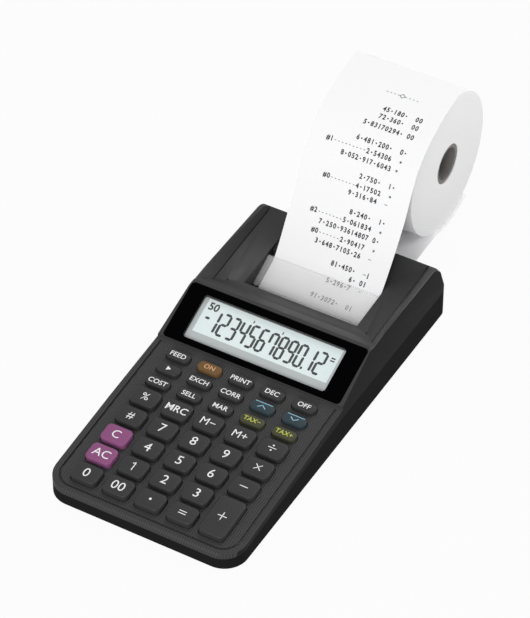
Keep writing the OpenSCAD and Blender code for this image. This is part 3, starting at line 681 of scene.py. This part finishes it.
# ---------------------------------------------------------------- paper

PLATEN_Y, PLATEN_Z, PLATEN_WRAP, ROLL_GAP = 158.5, 10.6, 4.95, 0.45
EDGE_X = (-28.2, 30.2)
PAPER_T, PAPER_COLUMNS = 0.12, 24
# side views (y, z) of the two edges of the free stretch, from the cutter to its end
CUTTER = (173.0, 22.8)
LEFT_EDGE = [CUTTER, (187.5, 44.0), (202.5, 70.8), (212.4, 83.5), (237.1, 94.1), (253.9, 97.3)]
RIGHT_EDGE = [CUTTER, (195.2, 50.3), (211.5, 78.3), (231.6, 90.6), (256.0, 96.3)]


def smooth_line(points, start, step=1.5):
    """A smooth curve through points, as closely spaced points; start is its first direction."""
    p = [Vector(q) for q in points]
    p = [p[0] - Vector(start)] + p + [2 * p[-1] - p[-2]]
    out = [p[1]]
    for a, b, c, d in zip(p, p[1:], p[2:], p[3:]):
        k1, k2, k3 = ((b - a).length ** 0.5, (c - b).length ** 0.5, (d - c).length ** 0.5)
        m1 = (c - b) + k2 * ((b - a) / k1 - (c - a) / (k1 + k2))
        m2 = (c - b) + k2 * ((d - c) / k3 - (d - b) / (k2 + k3))
        n = max(2, int((c - b).length / step))
        for i in range(1, n + 1):
            t = i / n
            out.append(b * (2 * t ** 3 - 3 * t ** 2 + 1) + m1 * (t ** 3 - 2 * t ** 2 + t)
                       + c * (3 * t ** 2 - 2 * t ** 3) + m2 * (t ** 3 - t ** 2))
    return out


def spaced(line, n):
    """n + 1 points at equal distances along a line."""
    reach = [0.0]
    for a, b in zip(line, line[1:]):
        reach.append(reach[-1] + (b - a).length)
    out, k = [], 0
    for i in range(n + 1):
        s = reach[-1] * i / n
        while k < len(line) - 2 and reach[k + 1] < s:
            k += 1
        t = (s - reach[k]) / max(reach[k + 1] - reach[k], 1e-9)
        out.append(line[k].lerp(line[k + 1], min(t, 1.0)))
    return out


# the free stretch in FREE_N steps; EXIT leads into it from below the cutter
FREE_N = 90
EXIT_ANGLE, EXIT_RUN = math.radians(25), 6
EXIT = (math.cos(EXIT_ANGLE) * EXIT_RUN, math.sin(EXIT_ANGLE) * EXIT_RUN)
FREE = [spaced(smooth_line(edge, EXIT), FREE_N) for edge in (LEFT_EDGE, RIGHT_EDGE)]


def free_point(x, s):
    """A point of the paper's free stretch: x across, s from 0 at the cutter to 1 at its end."""
    t = (x - EDGE_X[0]) / (EDGE_X[1] - EDGE_X[0])
    k = min(max(s, 0.0), 0.9999) * FREE_N
    i = int(k)
    left, right = (edge[i].lerp(edge[i + 1], k - i) for edge in FREE)
    return left.lerp(right, t)


def arc(cy, cz, radius, first, last, n):
    """Points on a circle seen from the side, from the first to the last angle in degrees."""
    angles = [math.radians(first + (last - first) * i / n) for i in range(n + 1)]
    return [Vector((cy + radius * math.cos(a), cz + radius * math.sin(a))) for a in angles]


# the hidden run: under the roll, down to the case, round the platen and up to the cutter
REAR_SLOT, BELOW_CUTTER = Vector((203.2, 18.4)), Vector((165.0, 19.1))
HIDDEN = (arc(ROLL_Y, ROLL_Z, ROLL_R + ROLL_GAP, 300, 251, 14) + [REAR_SLOT]
          + arc(PLATEN_Y, PLATEN_Z, PLATEN_WRAP, 287, 115, 16) + [BELOW_CUTTER])


def paper_web():
    """The paper from under the roll, round the platen, past the cutter and up to its free end."""
    rows = len(HIDDEN) + FREE_N
    bm = bmesh.new()
    bmesh.ops.create_grid(bm, x_segments=PAPER_COLUMNS, y_segments=rows, size=1.0)
    for v in bm.verts:
        x = EDGE_X[0] + (EDGE_X[1] - EDGE_X[0]) * (v.co.x + 1) / 2
        row = round((v.co.y + 1) / 2 * rows)
        p = HIDDEN[row] if row < len(HIDDEN) else free_point(x, (row - len(HIDDEN)) / FREE_N)
        v.co = (x, p.x, p.y)
    bmesh.ops.recalc_face_normals(bm, faces=bm.faces)
    bm.normal_update()
    for v in bm.verts:
        v.co += v.normal * PAPER_T / 2
    bmesh.ops.solidify(bm, geom=bm.faces[:], thickness=PAPER_T)
    bmesh.ops.transform(bm, matrix=CASE, verts=bm.verts)
    stands_for(piece("paper_web", bm, ("paper",), "case", smooth=50), "paper_strip")


# printed lines: distance along the paper from the cutter, x of the last character's end, and the
# characters, where + is a point
LINES = [
    (90.0, 21.6, "45+180+  00"),
    (85.6, 21.6, "72+360+  00"),
    (80.4, 21.6, "5+83170294+ 00"),
    (72.0, 21.8, "6+481+200+  0+"),
    (67.2, 21.2, "#1.........2+54306  *"),
    (62.6, 20.6, "8+052+917+6043 *"),
    (54.4, 21.4, "2+750+  1+"),
    (49.4, 20.8, "#0.......4+17502  *"),
    (45.0, 19.8, "9+316+84  -"),
    (36.0, 21.2, "8+240+  1+"),
    (31.2, 20.9, "#2.......5+061834  *"),
    (26.6, 20.9, "7+250+93614807 0+"),
    (21.6, 20.4, "#0......2+90417  *"),
    (17.0, 19.8, "3+648+7105+26  -"),
    (9.2, 21.6, "81+450+  -1"),
    (4.8, 21.4, "6+ 01"),
    (0.6, 20.2, "5+296+7  -"),
    (-9.0, 20.2, "91+3072+  01"),
]
PITCH, PRINT_H, PRINT_WEIGHT, PRINT_WIDTH, PRINT_LIFT = 1.93, 2.5, 0.034, 0.85, 0.06
LAST_IN, LOZENGE_AT = 0.8, 99.6
FREE_MM, LOOK_AHEAD = 116.8, 0.01
EXIT_DIRECTION, EXIT_NORMAL = Vector((0.906, 0.4226)), Vector((-0.4226, 0.906))


def on_paper(x, s):
    """A point just above the paper, s along it from the cutter, clear of it between two corners."""
    if s < 0:
        p, n = Vector(CUTTER) + EXIT_DIRECTION * s, EXIT_NORMAL
    else:
        t = s / FREE_MM
        p = free_point(x, t)
        ahead = (free_point(x, t + LOOK_AHEAD) - free_point(x, t - LOOK_AHEAD)).normalized()
        n = Vector((-ahead.y, ahead.x))
    q = p + n * (PAPER_T / 2 + PRINT_LIFT)
    return CASE @ Vector((x, q.x, q.y))


def strokes_of_star(reach, width):
    turns = [math.radians(a) for a in (0, 60, 120)]
    ends = [(reach * math.cos(a), reach * math.sin(a)) for a in turns]
    return [(-x, -y, x, y, width) for x, y in ends]


# printed signs, as ICONS; + is printed as a point
PRINTED = {
    "+": ([], [(0, -0.1, 0.42, 8)]),
    ".": ([(-0.25, -0.3, 0.25, -0.3, 0.3)], []),
    "-": ([(-0.6, 0, 0.6, 0, 0.3)], []),
    "*": (strokes_of_star(0.55, 0.26), []),
}


def printed_sign(char):
    """A new flat mesh of one printed character."""
    if char in PRINTED:
        return drawn(*PRINTED[char])
    return lettering(char, PRINT_H, PRINT_WEIGHT, PRINT_WIDTH)


def lay_on_paper(bm, marks, x, s):
    for v in marks.verts:
        v.co = on_paper(x + v.co.x, s + v.co.y)
    add(bm, marks)


def lozenge_line():
    """A new flat mesh of a row of dashes about a lozenge."""
    dashes = [(i * 2.0 - 2.2, 0, i * 2.0 - 1.7, 0, 0.3) for i in range(9) if i != 4]
    sides = [(6.1 + 1.4 * x, 0, 6.1, 1.2 * y, 0.28) for x, y in ((-1, 1), (1, 1), (1, -1), (-1, -1))]
    return drawn(dashes + sides, [])


def printed_lines():
    """Plain numbers, and a row of dashes about a lozenge near the paper's end."""
    bm = bmesh.new()
    for s, right, text in LINES:
        for i, char in enumerate(reversed(text)):
            if char != " ":
                lay_on_paper(bm, printed_sign(char), right - LAST_IN - i * PITCH, s)
    lay_on_paper(bm, lozenge_line(), 0, LOZENGE_AT)
    piece("printed_numbers", bm, ("ink",), "case", smooth=0)


def wound_ring(x0, x1, inner, outer, edge):
    """A new mesh of a ring about the roll's axis, turned from its cross-section."""
    bm = bmesh.new()
    middle = Matrix.Translation(((x0 + x1) / 2, (inner + outer) / 2, 0))
    flat_face(bm, middle @ Matrix.Diagonal((x1 - x0, outer - inner, 1, 1)))
    rim = [v for v in bm.verts if v.co.y > (inner + outer) / 2]
    bevelled(bm, rim, edge, 2, "VERTICES")
    bmesh.ops.delete(bm, geom=bm.faces[:], context="FACES_ONLY")
    bmesh.ops.spin(bm, geom=bm.verts[:] + bm.edges[:], cent=(0, 0, 0), axis=(1, 0, 0),
                   angle=2 * math.pi, steps=ROLL_STEPS, use_merge=True, use_duplicate=False)
    bmesh.ops.remove_doubles(bm, verts=bm.verts, dist=1e-4)
    bmesh.ops.recalc_face_normals(bm, faces=bm.faces)
    return bm


def paper_roll():
    """The wound paper and the card core that it is wound on."""
    bm = wound_ring(*ROLL_X, CORE_R[1], ROLL_R, 0.2)
    bm.normal_update()
    for face in bm.faces:
        face.material_index = int(abs(face.normal.x) > 0.9)
    add(bm, wound_ring(*CORE_X, *CORE_R, 0.1), material=2)
    bmesh.ops.transform(bm, matrix=CASE @ Matrix.Translation((0, ROLL_Y, ROLL_Z)), verts=bm.verts)
    stands_for(piece("roll", bm, ("paper", "roll_side", "core"), "roll", smooth=40), "paper_roll")


paper_web()
printed_lines()
paper_roll()
for mesh in OUTLINES.values():
    bpy.data.meshes.remove(mesh)


# ---------------------------------------------------------------- floor, light and camera

# how white the floor is made where it is seen and where it is mirrored; its height and half its
# side in metres
SEEN_WHITE, MIRRORED_WHITE = 0.95, 0.35
FLOOR_Z, FLOOR_HALF = -0.0003, 3.0


def white_floor():
    """A pale floor: nearly white where it is seen, and grey in what it throws back onto the case."""
    bm = bmesh.new()
    flat_face(bm, Matrix.Translation((0, 0, FLOOR_Z)), FLOOR_HALF)
    mesh = bpy.data.meshes.new("floor")
    bm.to_mesh(mesh)
    bm.free()
    f = Finish("floor_white", (0.55, 0.55, 0.55), roughness=0.9, specular=0.1)
    bright = f.node("ShaderNodeEmission", {"Color": (1, 1, 1, 1), "Strength": 1.0})
    white = f.seen_directly(MIRRORED_WHITE) * SEEN_WHITE
    shown = f.node("ShaderNodeMixShader", {0: white, 2: bright})
    f.tree.links.new(f.bsdf.outputs[0], shown.socket.node.inputs[1])
    f.tree.links.new(shown.socket, f.tree.nodes["Material Output"].inputs[0])
    mesh.materials.append(f.material)
    floor = bpy.data.objects.new("floor", mesh)
    bpy.context.scene.collection.objects.link(floor)


def soft_light(name, place, size, power):
    """A square lamp that faces the origin; metres and watts."""
    data = bpy.data.lights.new(name, "AREA")
    data.shape = "SQUARE"
    data.size = size
    data.energy = power
    lamp = bpy.data.objects.new(name, data)
    lamp.location = place
    lamp.rotation_euler = (-Vector(place)).to_track_quat("-Z", "Y").to_euler()
    bpy.context.scene.collection.objects.link(lamp)


def surroundings(strength):
    """White where it is seen or mirrored, and dimmer as a light."""
    world = bpy.data.worlds.new("studio")
    world.use_nodes = True
    n = Nodes(world.node_tree)
    background = world.node_tree.nodes["Background"]
    background.inputs["Color"].default_value = (1, 1, 1, 1)
    n.link(n.seen_directly() * (1 - strength) + strength, background.inputs["Strength"])
    bpy.context.scene.world = world


# the camera's direction from its target in degrees, its distance in metres, the target on the case,
# and its focal length and the render's longer side in pixels
AZIMUTH, ELEVATION, DISTANCE = 29.98, 42.52, 1.5863
TARGET = (-15.664, 143.295, 20)
FOCAL_PX, RENDER_PX, SENSOR_MM = 3300, 618, 36.0


def camera():
    azimuth, elevation = math.radians(AZIMUTH), math.radians(ELEVATION)
    target = CASE @ Vector(TARGET)
    back = Vector((math.sin(azimuth) * math.cos(elevation),
                   -math.cos(azimuth) * math.cos(elevation), math.sin(elevation)))
    data = bpy.data.cameras.new("camera")
    data.sensor_width = SENSOR_MM
    data.lens = SENSOR_MM * FOCAL_PX / RENDER_PX
    data.clip_start, data.clip_end = 0.05, 20
    data.dof.use_dof = False
    cam = bpy.data.objects.new("camera", data)
    cam.location = target + back * DISTANCE
    cam.rotation_euler = (-back).to_track_quat("-Z", "Y").to_euler()
    bpy.context.scene.collection.objects.link(cam)
    bpy.context.scene.camera = cam


white_floor()
soft_light("rear_light", (-0.1, 0.96, 1.16), 0.4, 4.5)
soft_light("right_light", (1.03, 0.96, 0.5), 0.5, 9)
soft_light("front_light", (0.2, -1.5, 0.75), 1.0, 19)
surroundings(0.43)
bpy.context.scene.view_settings.view_transform = "Standard"
camera()
